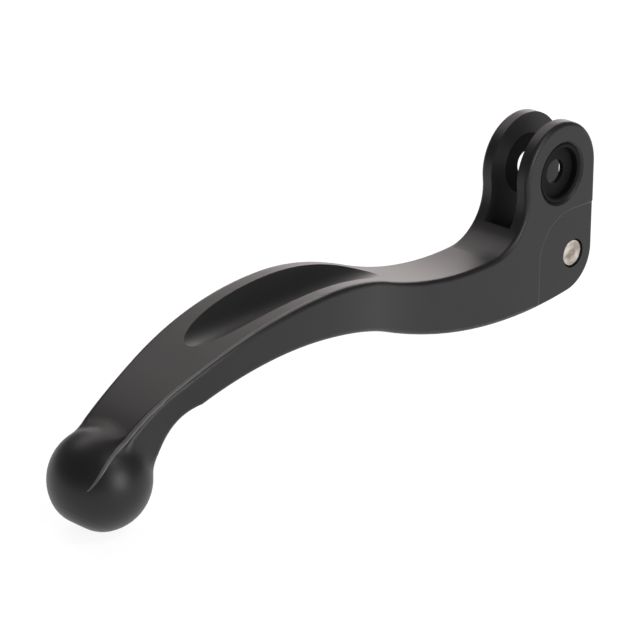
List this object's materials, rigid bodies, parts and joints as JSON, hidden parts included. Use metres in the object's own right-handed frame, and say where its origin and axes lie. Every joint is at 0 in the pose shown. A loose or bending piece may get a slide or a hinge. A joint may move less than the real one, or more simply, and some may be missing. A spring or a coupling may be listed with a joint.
{
  "type": "motorcycle brake lever",
  "caption": "Short ball-ended hand lever with an S-curved blade, a scoop in its upper side and a bushed fork that pivots on a bolt and pulls a rod by a cross pin.",
  "frame": {"origin": "on the pivot axis, half way between the ears", "axes": "+Y along the pivot axis towards the back ear, -X along the lever towards the ball, +Z towards the handlebar"},
  "size_m": [0.1374, 0.0188, 0.0471],
  "materials": {
    "black_aluminium": "satin black anodised",
    "black_plastic": "moulded black",
    "pin_steel": "ground steel"
  },
  "bodies": {
    "root": {"lever_blade": "black_aluminium", "pivot_bush_front": "black_plastic", "pivot_bush_back": "black_plastic", "link_pin": "pin_steel"}
  },
  "joints": []
}
